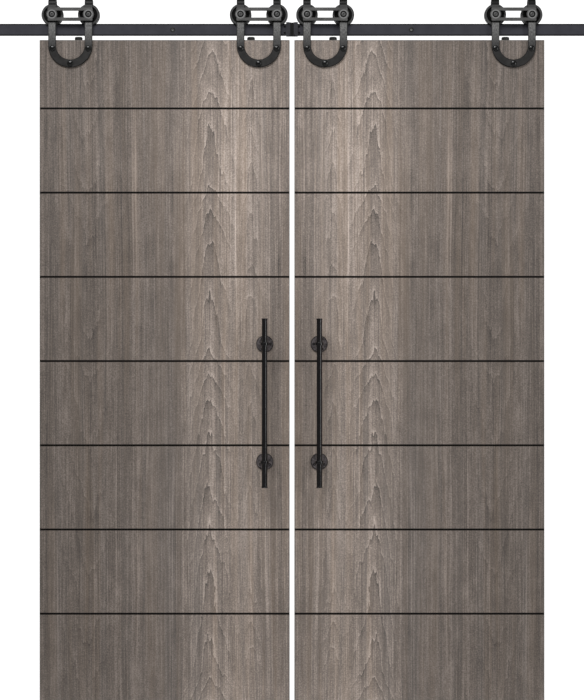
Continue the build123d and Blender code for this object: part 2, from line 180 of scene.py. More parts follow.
# %% A finish
class Paint(Nodes):
    """A new material with one shader."""

    def __init__(self, name, roughness=0.5, metallic=0.0, specular=0.5):
        self.material = bpy.data.materials.new(name)
        self.material.use_nodes = True
        super().__init__(self.material.node_tree)
        self.tree.nodes.clear()
        shader = self.add("ShaderNodeBsdfPrincipled")
        self.shader = shader.socket.node
        self.add("ShaderNodeOutputMaterial", {}, {"Surface": shader})
        self.shader.inputs["Roughness"].default_value = roughness
        self.shader.inputs["Metallic"].default_value = metallic
        self.shader.inputs["Specular IOR Level"].default_value = specular
        place = self.add("ShaderNodeTexCoord").other("Object")
        self.place = place
        self.x = self.add("ShaderNodeSeparateXYZ", {}, [place])
        self.y = self.x.other("Y")
        self.z = self.x.other("Z")

    def feed(self, name, wire):
        """Plug a wire into one of the shader's sockets."""
        self.tree.links.new(wire.socket, self.shader.inputs[name])

    def noise(self, across, along, seed=0.0, detail=2.0):
        """Noise from 0 to 1 over two coordinates, which may be stretched first."""
        point = self.add("ShaderNodeCombineXYZ", {}, [across, along, seed])
        return self.add("ShaderNodeTexNoise", {}, {"Vector": point, "Scale": 1.0, "Detail": detail})

    def speckle(self, scale, detail=2.0):
        """Noise from 0 to 1 that is the same every way, with so many lumps to a metre."""
        return self.add("ShaderNodeTexNoise", {}, {"Vector": self.place, "Scale": scale, "Detail": detail})

    def mix(self, share, first, second):
        """Blend two colours."""
        pick = [value if isinstance(value, Wire) else (*value, 1) for value in (first, second)]
        return self.add("ShaderNodeMix", {"data_type": "RGBA"}, {0: share, 6: pick[0], 7: pick[1]}, 2)

    def times(self, first, second):
        """Multiply two colours."""
        return self.add("ShaderNodeVectorMath", {"operation": "MULTIPLY"}, [first, second])

    def ramp(self, wire, stops):
        """Turn a value from 0 to 1 into a colour between stops."""
        return self.add("ShaderNodeValToRGB", {"stops": stops}, [wire])

    def bump(self, height, depth):
        """Dent the surface where the height is low, by up to so many metres."""
        bent = self.add("ShaderNodeBump", {}, {"Height": height, "Distance": depth, "Strength": 1.0})
        self.feed("Normal", bent)


print("paint ready")

# %% [markdown]
# ## Grey-brown wood
# The grain runs up and down, and in the photograph the two doors mirror each other. So the pattern depends on the
# distance from the middle of the pair. A veneer cut as a matched pair looks like this.
#
# The grain is a sum of small things: bands a hand wide, streaks, fine strands and pores. Each is noise that is
# squeezed across the grain and stretched along it. Where a log is sawn flat, the growth rings show as pointed
# arches that stand inside each other. They follow from one value that climbs with height and rises on both
# sides of the arch's middle, so that each whole number of it is one ring.
#
# Some of the photograph's light is painted in too. Two ramps make a door brighter and darker across and down, and
# its edges and the wood beside an inlay are darker, as they look in the photograph. Painted light moves with the
# door, which a lamp's light wouldn't. It also goes round to the back, because these rules don't look at depth.

# %% The wood's sizes
Figure = namedtuple("Figure", "place reach slope pitch seed strength")
Layer = namedtuple("Layer", "across along seed detail weight")
wood_figures = (
    Figure(0.252, 0.062, 3.8, 0.12, 3.0, 0.30),
    Figure(0.125, 0.034, 6.5, 0.15, 5.0, 0.17),
    Figure(0.628, 0.075, -3.4, 0.20, 8.0, 0.13),
)
wood_layers = {
    "band": Layer(24.0, 0.4, 7.1, 2.0, 0.34),
    "streak": Layer(125.0, 0.9, 2.9, 3.0, 0.42),
    "strand": Layer(430.0, 5.0, 5.3, 3.0, 0.68),
}
pore_weight, grit_weight, mottle_weight, bright_weight = 0.5, 0.5, 0.32, 1.9
inlay_pitch = 256.6 * mm
inlay_count = 7
inlay_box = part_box("left_inlay_strips")
inlay_half = (inlay_box[1].z - inlay_box[0].z - (inlay_count - 1) * inlay_pitch) / 2
inlay_shade = 1.3 * mm
rim_wide = 3.4 * mm
wood_pore_depth = 0.20 * mm
door_tall = door_high.z - door_low.z
wood_dark = (0.078, 0.067, 0.061)
wood_middle = (0.240, 0.199, 0.172)
wood_light = (0.560, 0.470, 0.415)
wood_blue = (0.150, 0.143, 0.140)
wood_tan = (0.320, 0.236, 0.170)
wood_shade = (0.012, 0.008, 0.006)
wood_rim = (0.110, 0.104, 0.100)
across_light = [(0.0, 1.00), (0.06, 1.06), (0.19, 1.22), (0.26, 1.34), (0.34, 1.20), (0.46, 0.86),
                (0.61, 0.71), (1.0, 0.66)]
down_light = [(0.0, 0.80), (0.08, 0.92), (0.18, 1.0), (0.29, 0.87), (0.60, 0.87), (0.80, 0.90), (1.0, 0.84)]
print("grain:", len(wood_layers), "layers and", len(wood_figures), "figures")


# %% Veneer
def hill(place, centre, reach):
    """1 at the centre and fading to 0 at a few reaches from it."""
    away = (place - centre) / reach
    return math.e ** (0 - away * away)


def rings(paint, grain, figure):
    """Growth rings as nested arches: each ring darkens slowly and ends at a sharp edge."""
    wander = paint.noise(paint.z * 2.6, 0.0, figure.seed + 0.5) - 0.5
    aside = grain - figure.place + wander * 0.05
    rise = (aside * aside + 0.00006) ** 0.5 + aside * 0.25
    ragged = paint.noise(grain * 90.0, paint.z * 14.0, figure.seed, 3.0) - 0.5
    uneven = paint.noise(paint.z * 1.9, 0.0, figure.seed)
    ring = ((paint.z + rise * figure.slope) / figure.pitch + ragged * 0.8 + uneven * 5.0).fract()
    return ring ** 8 - (1 - ring) ** 9 * 0.9


def beside_inlay(z):
    """Painted shade: 1 at an inlay's height and for about a millimetre past it, on every side of the door and not
    only its front.
    """
    top_inlay = inlay_box[1].z - inlay_half
    steps = (top_inlay - z) / inlay_pitch
    away = abs((steps + 0.5).fract() - 0.5) * inlay_pitch - inlay_half
    close = (1 - away / inlay_shade).clamped() ** 0.5
    return close * steps.math("LESS_THAN", steps, inlay_count - 0.5)


def near_rim(across, z):
    """1 along a door's sides and top, where the photograph shows a narrow neutral band."""
    inner_edge, outer_edge = -door_high.x, -door_low.x
    to_side = (outer_edge - inner_edge) / 2 - abs(across - (outer_edge + inner_edge) / 2)
    nearest = to_side.math("MINIMUM", to_side, door_high.z - z)
    return (2 - nearest / (rim_wide / 2)).clamped()


def wood_tone(paint, grain, across):
    """How light the grain is, about 0.5, and the wires of its layers."""
    z = paint.z
    layers = {name: paint.noise(grain * layer.across, z * layer.along, layer.seed, layer.detail) - 0.5
              for name, layer in wood_layers.items()}
    layers["pores"] = paint.speckle(420.0, 3.0) - 0.5
    bright = (paint.noise(grain * 240.0, z * 0.9, 9.2, 1.0) - 0.64).above_zero()
    mottle = paint.noise(across * 36.0, z * 15.0, 4.6, 3.0) - 0.5
    grit = paint.speckle(230.0) - 0.5
    tone = 0.50 + sum(layers[name] * layer.weight for name, layer in wood_layers.items()) + bright * bright_weight
    for figure in wood_figures:
        tone = tone - rings(paint, grain, figure) * hill(across, figure.place, figure.reach) * figure.strength
    tone = tone + layers["pores"] * pore_weight + grit * grit_weight + mottle * mottle_weight
    return tone, layers


def wood_hue(paint, grain, across, colour):
    """Stain a colour with warm and cold streaks. A cold one runs at one place in the photograph."""
    warm = paint.noise(grain * 40.0, paint.z * 0.9, 3.3) * 2.6 - 1.25
    colour = paint.mix((warm * 0.5).clamped(), colour, wood_tan)
    cold = paint.noise(grain * 26.0, paint.z * 0.5, 6.6) * 2.6 - 1.3 + hill(across, 0.38, 0.045) * 0.5
    return paint.mix((cold * 0.42).clamped(), colour, wood_blue)


def door_wood():
    """The doors' finish."""
    paint = Paint("grey_brown_wood", roughness=0.5, specular=0.3)
    z = paint.z
    across = abs(paint.x) + paint.y - door_front
    grain = across + (paint.noise(across * 3.0, z * 0.7, 1.7) - 0.5) * 0.035
    tone, layers = wood_tone(paint, grain, across)
    colour = paint.ramp(tone.clamped(), [(0.12, wood_dark), (0.5, wood_middle), (0.9, wood_light)])
    colour = wood_hue(paint, grain, across, colour)
    light = paint.ramp((across / -door_low.x).clamped(), across_light)
    fall = paint.ramp(((door_high.z - z) / door_tall).clamped(), down_light)
    colour = paint.times(colour, paint.times(light, fall))
    colour = paint.mix(near_rim(across, z) * 0.6, colour, wood_rim)
    paint.feed("Base Color", paint.mix(beside_inlay(z), colour, wood_shade))
    paint.feed("Roughness", 0.60 - tone * 0.16)
    paint.bump(layers["strand"] * 0.5 + layers["pores"], wood_pore_depth)
    return paint.material


door_finish = door_wood()
print("made", door_finish.name)

# %% [markdown]
# ## Black metal
# The hardware is steel with a black powder coat. The coat is never one flat black: it is a little mottled, its
# sheen varies, and its skin is finely dimpled.
#
# In the photograph the straps are light on their arms and black behind the links, the links' pockets and the wheels'
# webs are black, and the rail's edges are dark. Much of that is shade and reflection. It is painted in here, by
# height, depth and distance from an axle, because lamps alone left the black metal too even. The rules are made
# for the front, and what lies deeper, such as a wheel's back, is black as well.

# %% Coated metal
mottle_lumps, mottle_detail, skin_lumps = 38.0, 4.0, 900.0
black = (0.004, 0.004, 0.004)


def grey(value):
    """A colour without hue."""
    return (value, value, value)


def between(dark, light):
    """A colour that is mottled between two others."""
    return lambda paint: paint.mix(paint.speckle(mottle_lumps, mottle_detail), dark, light)


def coat(name, colour, roughness, dimple=0.03, specular=0.5):
    """Powder coat with a dimpled skin, coloured by a function of its paint."""
    paint = Paint(name, roughness, specular=specular)
    paint.feed("Base Color", colour(paint))
    paint.feed("Roughness", roughness - 0.06 + paint.speckle(mottle_lumps, mottle_detail) * 0.12)
    paint.bump(paint.speckle(skin_lumps), dimple * mm)
    return paint.material


def past(wire, start, length):
    """0 before the start, and 1 from a length past it."""
    return ((wire - start) / length).clamped()


print("coats ready")


# %% Where the coats change
def from_hanger(paint):
    """How far a point is aside of the nearest hanger's middle."""
    outer, inner = (-x for x in hanger_x["left"])
    return abs(abs(abs(paint.x) - (outer + inner) / 2) - (outer - inner) / 2)


def from_line(aside, rise):
    """How far a point is from a line along the depth axis."""
    return (aside * aside + rise * rise) ** 0.5


def strap_colour(paint):
    """Dark on the U, and a painted reflection, light and mottled, on the arms. Painted shade darkens the edges,
    painted shadow is black from just below the link, and painted highlights lie over the bend.
    """
    z, aside = paint.z, from_hanger(paint)
    light_from, light_to = door_high.z - 30 * mm, axle_z - 40 * mm
    arm_sheen_mottle = (paint.noise(paint.x * 420.0, z * 150.0, 2.0, 4.0) * 2.6 - 0.8).clamped()
    arm = paint.mix(arm_sheen_mottle, grey(0.06), (0.21, 0.208, 0.205))
    low = paint.mix(paint.speckle(60.0, 3.0), grey(0.008), (0.042, 0.041, 0.040))
    off_middle = abs(from_line(aside, (arc_z - z).above_zero()) - arc_radius)
    front = paint.mix(past(z, light_from, light_to - light_from), low, arm)
    # Painted shade: darker along both edges of the bar, on the arms and round the U.
    front = paint.mix(past(off_middle, 9.2 * mm, 2 * mm) * 0.8, front, black)
    # Painted highlights: a band above the link and a line over the top of the bend.
    shine = hill(z, link_high.z + 5 * mm, 4 * mm) * 0.5 + hill(z, strap_high.z, 2 * mm)
    # Painted shadow: black from just below the link upward, with the painted highlights over it.
    behind_link = paint.mix(shine.clamped(), grey(0.003), grey(0.13))
    return paint.mix(past(z, link_low.z - 6 * mm, 3 * mm), front, behind_link)


def sunk_colour(dark, light, front, within, light_rim):
    """Painted shade: black where a piece is sunk round its axles, and a painted highlight, lighter, in a ring round
    that.
    """
    def colour(paint):
        away = from_line(from_hanger(paint) - axle_pitch / 2, paint.z - axle_z)
        sunk = past(paint.y, front + 0.6 * mm, 1.2 * mm) * ((within - away) / (0.5 * mm)).clamped()
        ring = hill(away, within + 1.8 * mm, 1.8 * mm) * 0.8
        return paint.mix(sunk, paint.mix(ring, between(dark, light)(paint), light_rim), grey(0.0015))
    return colour


def rail_colour(paint):
    """Painted shade, dark along the top and bottom edges."""
    face = between((0.027, 0.027, 0.034), (0.046, 0.046, 0.056))(paint)
    return paint.mix(past(abs(paint.z), rail_high.z - 5 * mm, 2 * mm), face, (0.004, 0.004, 0.005))


def rosette_colour(paint):
    """Blotched between black and a lighter grey-brown, which is painted reflection on a black coat, and painted shade
    dark along the rim.
    """
    rise = abs(paint.z - sum(post_z) / 2) - (post_z[0] - post_z[1]) / 2
    away = from_line(abs(paint.x) - abs(pull_x["left"]), rise)
    blotch = (paint.speckle(170.0, 4.0) * 2.4 - 0.7).clamped()
    face = paint.mix(blotch, (0.020, 0.017, 0.018), (0.135, 0.118, 0.120))
    return paint.mix(past(away, spread("left_upper_rosette").x / 2 - 3 * mm, 2 * mm), face, (0.004, 0.003, 0.003))


def cover_colour(paint):
    """Painted shade, black in the groove and the slots."""
    face = between((0.022, 0.022, 0.026), (0.040, 0.040, 0.045))(paint)
    return paint.mix(past(paint.y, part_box("rail_cover")[0].y + 0.25 * mm, 0.5 * mm), face, black)


print("colour rules ready")

# %% Black finishes
wheel_web = spread("left_wheel_1").x / 2 - 6 * mm
wheel_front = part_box("left_wheel_1")[0].y
pocket_radius = 10 * mm
# Painted shade in the links' pockets and the wheels' webs, and a painted highlight in a ring round each. The links'
# lighter grey is painted reflection on black metal.
link_colour = sunk_colour(grey(0.035), (0.125, 0.124, 0.122), link_front, pocket_radius, grey(0.24))
wheel_colour = sunk_colour(grey(0.022), grey(0.050), wheel_front, wheel_web, grey(0.080))
strap_finish = coat("strap_coat", strap_colour, 0.42, specular=0.14)
link_finish = coat("link_coat", link_colour, 0.38, specular=0.16)
rail_finish = coat("rail_coat", rail_colour, 0.40, specular=0.2)
cover_finish = coat("cover_coat", cover_colour, 0.40, specular=0.2)
track_finish = coat("track_coat", between((0.020, 0.020, 0.026), (0.031, 0.031, 0.038)), 0.40)
wheel_finish = coat("wheel_coat", wheel_colour, 0.34, specular=0.16)
bolt_finish = coat("bolt_black", between(grey(0.002), grey(0.006)), 0.24, dimple=0.01, specular=0.35)
# The axle bolts' coat is a lighter grey than the other bolts': a painted highlight on black bolt heads.
axle_finish = coat("axle_black", between(grey(0.045), grey(0.110)), 0.30, dimple=0.01, specular=0.3)
disc_finish = coat("disc_black", between(grey(0.006), grey(0.014)), 0.42, specular=0.3)
pull_finish = coat("pull_black", between(grey(0.001), (0.003, 0.002, 0.003)), 0.16, dimple=0.002)
rosette_finish = coat("rosette_coat", rosette_colour, 0.45, specular=0.2)
inlay_finish = coat("inlay_black", between((0.0015, 0.001, 0.001), (0.004, 0.0025, 0.002)), 0.6, specular=0.1)
rubber_finish = coat("bumper_rubber", between(grey(0.008), grey(0.016)), 0.75, dimple=0.02)
print("made", len(bpy.data.materials), "finishes")

# %% [markdown]
# ## Ground steel
# The bearings and the sleeves on the axles are bare steel. It has fine rings left by the grinding wheel.

# %% Steel
def ground_steel():
    """Bare turned steel with fine rings round the axle."""
    paint = Paint("ground_steel", 0.32, metallic=1.0)
    rings = paint.noise(paint.y * 5200.0, paint.z * 40.0, 1.0)
    paint.feed("Base Color", paint.mix(rings, (0.34, 0.34, 0.35), (0.56, 0.56, 0.56)))
    paint.feed("Roughness", 0.24 + rings * 0.2)
    paint.bump(rings, 0.01 * mm)
    return paint.material


steel_finish = ground_steel()
print("made", steel_finish.name)


# %% [markdown]
# ## Objects from meshes
# Each new piece is a plain mesh whose object stays at the origin, so that its place is in its points. A
# modifier or a Geometry Nodes tree may shape it, and the shaped mesh then takes the place of the first one.

# %% Make, bake and place a piece
def new_object(name, points, edges=(), faces=()):
    """An object at the origin with these points, edges and faces."""
    mesh = bpy.data.meshes.new(name)
    mesh.from_pydata([tuple(point) for point in points], list(edges), list(faces))
    obj = bpy.data.objects.new(name, mesh)
    bpy.context.scene.collection.objects.link(obj)
    return obj


def from_bmesh(name, shape):
    """An object from a mesh under construction, which is used up."""
    piece = new_object(name, [])
    shape.to_mesh(piece.data)
    shape.free()
    return piece


def bake(obj):
    """Take an object's shape as its modifiers leave it, and drop the modifiers."""
    bpy.context.view_layer.update()
    shaped = obj.evaluated_get(bpy.context.evaluated_depsgraph_get())
    mesh = bpy.data.meshes.new_from_object(shaped)
    mesh.name = obj.name
    obj.modifiers.clear()
    obj.data = mesh
    return obj


def grow(obj, tree, **values):
    """Shape an object with a Geometry Nodes tree, its inputs given by their names."""
    modifier = obj.modifiers.new("shape", "NODES")
    modifier.node_group = tree
    sockets = {item.name: item.identifier for item in tree.interface.items_tree if item.in_out == "INPUT"}
    for name, value in values.items():
        modifier[sockets[name.replace("_", " ")]] = value
    return bake(obj)


def use_up(*pieces):
    """Remove pieces that were only there to be copied."""
    for piece in pieces:
        bpy.data.objects.remove(piece)


def settle(obj, body, slot, *nodes):
    """Even out the shading of a piece, put it on its body and hide the solids that it stands for."""
    weigh = obj.modifiers.new("even shading", "WEIGHTED_NORMAL")
    weigh.keep_sharp = True
    bake(obj)
    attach(obj, body)
    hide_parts(*nodes)
    return obj


print("object helpers ready")


# %% [markdown]
# ## A lathe
# Wheels, bolts, discs and tubes are turned: half an outline is drawn once and spun about an axis. The tree
# below rounds the outline's corners, sweeps it round a circle and marks the edges that stay crisp. An outline
# is a row of points, each a radius and a depth.

# %% Tree: lathe
def new_tree(name, **inputs):
    """An empty Geometry Nodes tree with a geometry in and out, and these inputs with their kinds."""
    tree = bpy.data.node_groups.new(name, "GeometryNodeTree")
    tree.interface.new_socket("Geometry", in_out="INPUT", socket_type="NodeSocketGeometry")
    tree.interface.new_socket("Geometry", in_out="OUTPUT", socket_type="NodeSocketGeometry")
    for label, kind in inputs.items():
        tree.interface.new_socket(label.replace("_", " "), in_out="INPUT", socket_type="NodeSocket" + kind)
    nodes = Nodes(tree)
    return nodes, nodes.add("NodeGroupInput")


def crisp(nodes, shape, degrees):
    """Shade a shape smooth, but keep the edges sharp that turn by more than so many degrees."""
    turn = nodes.add("GeometryNodeInputMeshEdgeAngle")
    sharp = nodes.add("FunctionNodeCompare", {"operation": "GREATER_THAN"}, {0: turn, 1: math.radians(degrees)})
    shape = nodes.add("GeometryNodeSetShadeSmooth", {"domain": "FACE"}, {"Geometry": shape, "Shade Smooth": True})
    return nodes.add("GeometryNodeSetShadeSmooth", {"domain": "EDGE"},
                     {"Geometry": shape, "Selection": sharp, "Shade Smooth": False})


def finish_tree(nodes, shape, given):
    """End a tree: real geometry, its material and the output."""
    shape = nodes.add("GeometryNodeRealizeInstances", {}, {"Geometry": shape})
    shape = nodes.add("GeometryNodeSetMaterial", {}, {"Geometry": shape, "Material": given.other("Finish")})
    nodes.add("NodeGroupOutput", {}, [shape])
    return nodes.tree


def lathe_tree():
    """Round an outline's corners and spin it about the depth axis."""
    nodes, given = new_tree("lathe", Corner="Float", Segments="Int", Finish="Material")
    spine = 1 * mm
    outline = nodes.add("GeometryNodeMeshToCurve", {}, {"Mesh": given})
    outline = nodes.add("GeometryNodeFilletCurve", {"mode": "POLY"},
                        {"Curve": outline, "Count": 3, "Radius": given.other("Corner"), "Limit Radius": True})
    outline = nodes.add("GeometryNodeTransform", {}, {"Geometry": outline, "Translation": (-spine, 0, 0)})
    ring = nodes.add("GeometryNodeCurvePrimitiveCircle", {}, {"Resolution": given.other("Segments"), "Radius": spine})
    spun = nodes.add("GeometryNodeCurveToMesh", {}, {"Curve": ring, "Profile Curve": outline})
    spun = nodes.add("GeometryNodeMergeByDistance", {}, {"Geometry": spun, "Distance": 0.001 * mm})
    spun = nodes.add("GeometryNodeTransform", {}, {"Geometry": spun, "Rotation": (math.pi / 2, 0, 0)})
    return finish_tree(nodes, crisp(nodes, spun, 40), given)


lathe = lathe_tree()


def turned(name, outline, corner, finish, segments=64, closed=True):
    """A turned piece about the origin's depth axis."""
    count = len(outline)
    edges = [(i, (i + 1) % count) for i in range(count if closed else count - 1)]
    flat = new_object(name, [(radius, depth, 0) for radius, depth in outline], edges)
    return grow(flat, lathe, Corner=corner, Segments=segments, Finish=finish)


trial = turned("trial", [(0.01, 0), (0.03, 0), (0.03, 0.02), (0.01, 0.02)], 0.001, wheel_finish)
print("a trial ring has", len(trial.data.polygons), "faces and is", [round(v, 4) for v in trial.dimensions])
use_up(trial)

# %% [markdown]
# ## Wheels
# A track wheel has a groove that sits on the rail, a raised rim, a sunk web and a hub round its bearing. All of
# that is in one outline. Every wheel turns on its own axle, so every wheel is a mesh of its own.

# %% Wheels
wheel_size = spread("left_wheel_1")
wheel_half = wheel_size.y / 2
wheel_radius = wheel_size.x / 2
rolling_floor = 26.2 * mm
bearing_radius = spread("left_bearing_1").x / 2
rim_inner = wheel_radius - 6.7 * mm
hub_radius = bearing_radius + 5 * mm
web_depth = wheel_half - 4 * mm
groove_low, groove_high = 3.6 * mm, 5.1 * mm
shoulder = bearing_radius - 2 * mm
seat_depth = 3.5 * mm
wheel_outline = [
    (bearing_radius, -wheel_half), (hub_radius, -wheel_half), (hub_radius, -web_depth), (rim_inner, -web_depth),
    (rim_inner, -wheel_half), (wheel_radius, -wheel_half), (wheel_radius, -groove_high),
    (rolling_floor, -groove_low), (rolling_floor, groove_low), (wheel_radius, groove_high),
    (wheel_radius, wheel_half), (rim_inner, wheel_half), (rim_inner, web_depth), (hub_radius, web_depth),
    (hub_radius, wheel_half), (shoulder, wheel_half), (shoulder, seat_depth), (bearing_radius, seat_depth),
]


def place(obj, x, y, z):
    """Move a piece's points, so that its object stays at the origin."""
    obj.data.transform(Matrix.Translation((x, y, z)))
    return obj


for side in sides:
    for number, x in enumerate(axle_x[side], start=1):
        wheel = turned(f"{side}_track_wheel_{number}", wheel_outline, 0.9 * mm, wheel_finish, 96)
        place(wheel, x, wheel_y, axle_z)
        settle(wheel, f"{side}_roller_{number}", "wheel_black", f"{side}_wheel_{number}")
print("wheels:", 2 * len(axle_x["left"]), "of", len(wheel.data.polygons), "faces")

# %% [markdown]
# ## Setting out
# Bolts, nuts and screws are the same piece many times over. The tree puts a copy on every point that it is
# given, and makes the copies real, because an exported model can't keep them as instances.

# %% Tree: set out
def set_out_tree():
    """A copy of a piece on every point."""
    nodes, given = new_tree("set out", Piece="Object", Turn="Rotation", Finish="Material")
    source = nodes.add("GeometryNodeObjectInfo", {}, {"Object": given.other("Piece")}).other("Geometry")
    copies = nodes.add("GeometryNodeInstanceOnPoints", {},
                       {"Points": given, "Instance": source, "Rotation": given.other("Turn")})
    return finish_tree(nodes, copies, given)


set_out = set_out_tree()


def repeat(name, piece, places, finish, turn=(0, 0, 0)):
    """One mesh of a piece at many places. The piece itself stays, and is used up once the last mesh that needs it is
    made.
    """
    points = new_object(name, places)
    return grow(points, set_out, Piece=piece, Turn=turn, Finish=finish)


print("set out takes", [item.name for item in set_out.interface.items_tree])

# %% [markdown]
# ## Bolts and nuts
# A button-headed bolt has a low dome with a six-sided socket. The dome is turned first. The socket is pressed
# in afterwards: the faces inside it are cut out and a six-sided cup takes their place. The end that stands out
# behind the nut has a few turns of thread.

# %% A bolt
def dome(radius, height, steps=7):
    """A low dome's outline, from the top's middle out to the rim's foot."""
    rise = 0.8 * height
    curve = [math.pi / 2 * i / steps for i in range(steps + 1)]
    points = [(radius * math.sin(turn), -height + rise * (1 - math.cos(turn))) for turn in curve]
    return points + [(radius, 0)]


def thread(radius, start, end, pitch, depth):
    """Ridges along a shank, as an outline."""
    points = []
    count = int((end - start) / pitch)
    for i in range(count):
        here = start + i * pitch
        points += [(radius - depth, here), (radius, here + pitch / 2)]
    return points + [(radius - depth, start + count * pitch)]


def socket(piece, across, depth, top):
    """Press a six-sided socket into a turned piece from the front."""
    shape = bmesh.new()
    shape.from_mesh(piece.data)
    reach = across / math.sqrt(3)
    ring = [vert for vert in shape.verts if math.hypot(vert.co.x, vert.co.z) < reach and vert.co.y < top / 2]
    bmesh.ops.delete(shape, geom=ring, context="VERTS")
    rim = [edge for edge in shape.edges if edge.is_boundary]
    corners = sorted({vert for edge in rim for vert in edge.verts}, key=lambda vert: math.atan2(vert.co.z, vert.co.x))
    levels = []
    for sink, share in ((0.0, 1.0), (depth, 1.0), (depth, 0.0)):
        level = []
        for vert in corners:
            turn = math.atan2(vert.co.z, vert.co.x)
            flat = across / 2 / math.cos((turn % (math.pi / 3)) - math.pi / 6)
            level.append(shape.verts.new((share * flat * math.cos(turn), top + sink, share * flat * math.sin(turn))))
        levels.append(level)
    rows = [corners] + levels
    for upper, lower in zip(rows, rows[1:]):
        for i in range(len(corners)):
            j = (i + 1) % len(corners)
            shape.faces.new((upper[i], upper[j], lower[j], lower[i]))
    bmesh.ops.remove_doubles(shape, verts=shape.verts, dist=0.001 * mm)
    bmesh.ops.recalc_face_normals(shape, faces=shape.faces)
    shape.to_mesh(piece.data)
    shape.free()
    return piece


def bolt(name, head_radius, head_height, shank_radius, length, finish):
    """A button-headed bolt whose head sits in front of depth 0."""
    threaded = thread(shank_radius, length - 12 * mm, length - 1 * mm, 1.25 * mm, 0.6 * mm)
    outline = dome(head_radius, head_height) + [(shank_radius, 0)] + threaded + [(0, length)]
    piece = turned(name, outline, 0.15 * mm, finish, 48, closed=False)
    return socket(piece, 5 * mm, 2.2 * mm, -head_height + 0.1 * mm)


head_radius, axle_head_radius, head_height, shank_radius = 9 * mm, 7 * mm, 5 * mm, 4 * mm
bolt_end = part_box("left_horseshoe_bolts")[1].y
face_bolt = bolt("face_bolt", head_radius, head_height, shank_radius, bolt_end - strap_low.y, bolt_finish)
print("a face bolt:", len(face_bolt.data.polygons), "faces,", [round(v, 4) for v in face_bolt.dimensions])

# %% [markdown]
# ## Bolts, nuts and screws on their places
# The bolts of each horseshoe sit on its U at the bottom and on both sides. The axle bolts sit in pockets of the
# link. Each set of equal pieces of one door is one mesh.

# %% Where the fixings are
bolt_angles = [math.radians(degrees) for degrees in (190, 270, 350)]
face_bolt_places = {
    side: [(x + arc_radius * math.cos(turn), strap_low.y, arc_z + arc_radius * math.sin(turn))
           for x in hanger_x[side] for turn in bolt_angles]
    for side in sides
}
link_pocket = 4 * mm
axle_seat = link_front + link_pocket
axle_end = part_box("left_axle_bolts")[1].y
axle_bolt = bolt("axle_bolt", axle_head_radius, head_height, shank_radius, axle_end - axle_seat, axle_finish)
leg_back = strap_high.y
nut_half = 2.5 * mm


def nut(name, across, finish):
    """A six-sided nut whose seat is at depth 0."""
    shape = bmesh.new()
    reach = across / math.sqrt(3)
    bmesh.ops.create_cone(shape, cap_ends=True, segments=6, radius1=reach, radius2=reach, depth=2 * nut_half)
    bmesh.ops.rotate(shape, verts=shape.verts, matrix=Matrix.Rotation(math.pi / 2, 3, "X"))
    bmesh.ops.translate(shape, verts=shape.verts, vec=(0, nut_half, 0))
    piece = from_bmesh(name, shape)
    bevel = piece.modifiers.new("corners", "BEVEL")
    bevel.width, bevel.segments = 0.6 * mm, 2
    piece.data.materials.append(finish)
    return bake(piece)


steel_nut = nut("steel_nut", 13 * mm, bolt_finish)
for side in sides:
    heads = repeat(f"{side}_face_bolts", face_bolt, face_bolt_places[side], bolt_finish)
    settle(heads, f"{side}_door", "fixings_black", f"{side}_horseshoe_bolts")
    pins = repeat(f"{side}_axle_pins", axle_bolt, [(x, axle_seat, axle_z) for x in axle_x[side]], axle_finish)
    settle(pins, f"{side}_door", "fixings_black", f"{side}_axle_bolts")
    seats = [(x, leg_back, axle_z) for x in axle_x[side]] + [(x, door_back, z) for x, _, z in face_bolt_places[side]]
    backs = repeat(f"{side}_hex_nuts", steel_nut, seats, bolt_finish)
    settle(backs, f"{side}_door", "fixings_black", f"{side}_nuts")
use_up(face_bolt, axle_bolt, steel_nut)
print("bolts on one door:", len(face_bolt_places["left"]), "and", len(axle_x["left"]))

# %% [markdown]
# ## The horseshoe strap
# A smith makes it from one flat bar: a U on the flat, which is cut or forged, and two arms that are bent over
# the tops of the wheels and come down behind them. Here the bar's section walks along that path. Each step
# knows its middle, which way the width points and which way is outward, so the bar bends both ways without twist.

# %% Straps
strap_width = 23.5 * mm
strap_thick = 6 * mm
strap_front_y = strap_low.y + strap_thick / 2
strap_back_y = strap_high.y - strap_thick / 2
bend_radius = (strap_back_y - strap_front_y) / 2
bend_y = (strap_back_y + strap_front_y) / 2
bend_z = strap_high.z - bend_radius - strap_thick / 2
foot_z = axle_z - 13 * mm


def strap_outline(half):
    """Points round the bar's section, each across the width and outward. The outer corners are broken more."""
    deep = strap_thick / 2
    near = [(-1.25, 0), (-0.95, -0.08), (-0.08, -0.95), (0, -1.25)]
    right = [(half + across * mm, deep + out * mm) for across, out in near]
    right += [(half, 0.5 * mm - deep), (half - 0.15 * mm, 0.15 * mm - deep), (half - 0.5 * mm, -deep)]
    return [(max(across, 0.1 * mm), out) for across, out in right] + \
           [(-max(across, 0.1 * mm), out) for across, out in reversed(right)]


def strap_half():
    """Steps from the foot of the back leg to the bottom of the U, about the hanger's middle."""
    across, up, back = Vector((1, 0, 0)), Vector((0, 0, 1)), Vector((0, 1, 0))
    side = across * arc_radius
    half = strap_width / 2
    steps = []
    for turn in [math.radians(degrees) for degrees in (6, 20, 36, 54, 72, 90)]:
        height = foot_z + half * (1 - math.cos(turn))
        steps.append((side + back * strap_back_y + up * height, across, back, half * math.sin(turn)))
    for turn in [math.pi * i / 20 for i in range(21)]:
        out = back * math.cos(turn) + up * math.sin(turn)
        steps.append((side + back * bend_y + up * bend_z + out * bend_radius, across, out, half))
    for turn in [math.pi / 2 * i / 28 for i in range(29)]:
        out = across * math.cos(turn) - up * math.sin(turn)
        steps.append((out * arc_radius + back * strap_front_y + up * arc_z, out, -back, half))
    return steps


